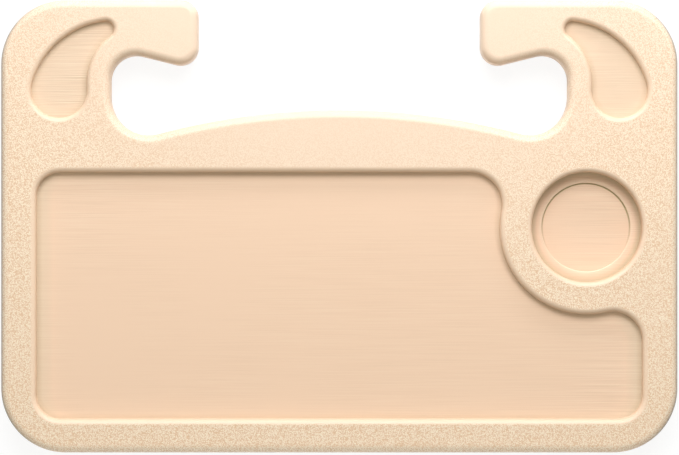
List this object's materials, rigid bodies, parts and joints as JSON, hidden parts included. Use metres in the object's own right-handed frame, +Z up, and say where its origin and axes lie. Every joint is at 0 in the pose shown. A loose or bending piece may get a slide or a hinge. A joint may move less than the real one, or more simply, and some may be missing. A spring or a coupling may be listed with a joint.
{
  "type": "steering wheel tray",
  "caption": "Flat moulded tray that hooks over a steering wheel, with a large shallow recess, a round cup well and bean-shaped pockets.",
  "frame": {"origin": "on the surface that the tray lies on, under the middle of its bounding box", "axes": "+X across the tray towards the cup well, +Y from the front edge towards the hooks, +Z up out of the face"},
  "size_m": [0.42, 0.281, 0.023],
  "materials": {
    "tray_plastic": "beige moulded plastic, pebbled on the rim and smooth in the recesses",
    "base_plastic": "beige moulded plastic with a fine pebbled grain"
  },
  "bodies": {
    "root": {"tray_shell": "tray_plastic", "base_shell": "base_plastic"}
  },
  "joints": []
}
